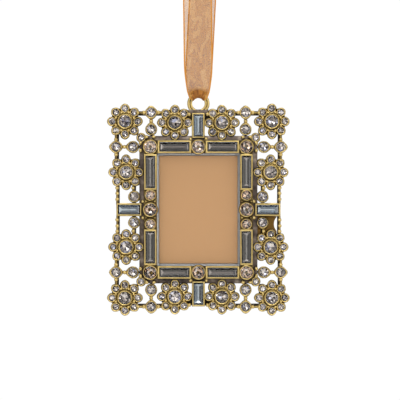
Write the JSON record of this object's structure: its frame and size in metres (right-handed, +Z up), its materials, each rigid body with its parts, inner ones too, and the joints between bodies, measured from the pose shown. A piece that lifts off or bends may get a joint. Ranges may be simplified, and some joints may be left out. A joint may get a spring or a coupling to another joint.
{
  "type": "picture frame ornament",
  "caption": "Miniature openwork picture frame set with round and baguette stones about a rectangular opening, with a lift-off back and a ribbon loop through a ring for hanging.",
  "frame": {"origin": "middle of the flat back face of the cover, behind the middle of the opening", "axes": "+Z up towards the hanging ring, +X to the right seen from the front, +Y out of the back; the stones face -Y"},
  "size_m": [0.0606, 0.008, 0.1328],
  "materials": {
    "antique_gold": "cast and gold plated, darkened in the recesses",
    "round_stone": "faceted, polished, clear",
    "baguette_stone": "step cut, polished, smoky grey",
    "clear_pane": "clear and polished",
    "tan_card": "plain matte card",
    "steel_tray": "pressed, satin",
    "brass_cover": "brushed, darkened",
    "organza_ribbon": "sheer woven ribbon with satin edges"
  },
  "bodies": {
    "root": {"back_cover": "brass_cover", "backing_tray": "steel_tray", "band_stone_bottom_centre": "round_stone", "band_stone_bottom_left": "round_stone", "band_stone_bottom_right": "round_stone", "band_stone_middle_left": "round_stone", "band_stone_middle_right": "round_stone", "band_stone_top_centre": "round_stone", "band_stone_top_left": "round_stone", "band_stone_top_right": "round_stone", "centre_stone_bottom_row_left": "round_stone", "centre_stone_bottom_row_right": "round_stone", "centre_stone_corner_bottom_left": "round_stone", "centre_stone_corner_bottom_right": "round_stone", "centre_stone_corner_top_left": "round_stone", "centre_stone_corner_top_right": "round_stone", "centre_stone_left_side_bottom": "round_stone", "centre_stone_left_side_top": "round_stone", "centre_stone_right_side_bottom": "round_stone", "centre_stone_right_side_top": "round_stone", "centre_stone_top_row_left": "round_stone", "centre_stone_top_row_right": "round_stone", "frame_casting": "antique_gold", "long_baguette_bottom_left": "baguette_stone", "long_baguette_bottom_right": "baguette_stone", "long_baguette_left_bottom": "baguette_stone", "long_baguette_left_top": "baguette_stone", "long_baguette_right_bottom": "baguette_stone", "long_baguette_right_top": "baguette_stone", "long_baguette_top_left": "baguette_stone", "long_baguette_top_right": "baguette_stone", "petal_stones_bottom_row_left": "round_stone", "petal_stones_bottom_row_right": "round_stone", "petal_stones_corner_bottom_left": "round_stone", "petal_stones_corner_bottom_right": "round_stone", "petal_stones_corner_top_left": "round_stone", "petal_stones_corner_top_right": "round_stone", "petal_stones_left_side_bottom": "round_stone", "petal_stones_left_side_top": "round_stone", "petal_stones_right_side_bottom": "round_stone", "petal_stones_right_side_top": "round_stone", "petal_stones_top_row_left": "round_stone", "petal_stones_top_row_right": "round_stone", "picture_card": "tan_card", "picture_pane": "clear_pane", "ribbon_loop": "organza_ribbon", "short_baguette_bottom": "baguette_stone", "short_baguette_left": "baguette_stone", "short_baguette_right": "baguette_stone", "short_baguette_top": "baguette_stone", "side_stones_left": "round_stone", "side_stones_right": "round_stone", "spacer_stones_left": "round_stone", "spacer_stones_right": "round_stone", "spray_stones_bottom_left": "round_stone", "spray_stones_bottom_right": "round_stone", "spray_stones_top_left": "round_stone", "spray_stones_top_right": "round_stone"}
  },
  "joints": []
}
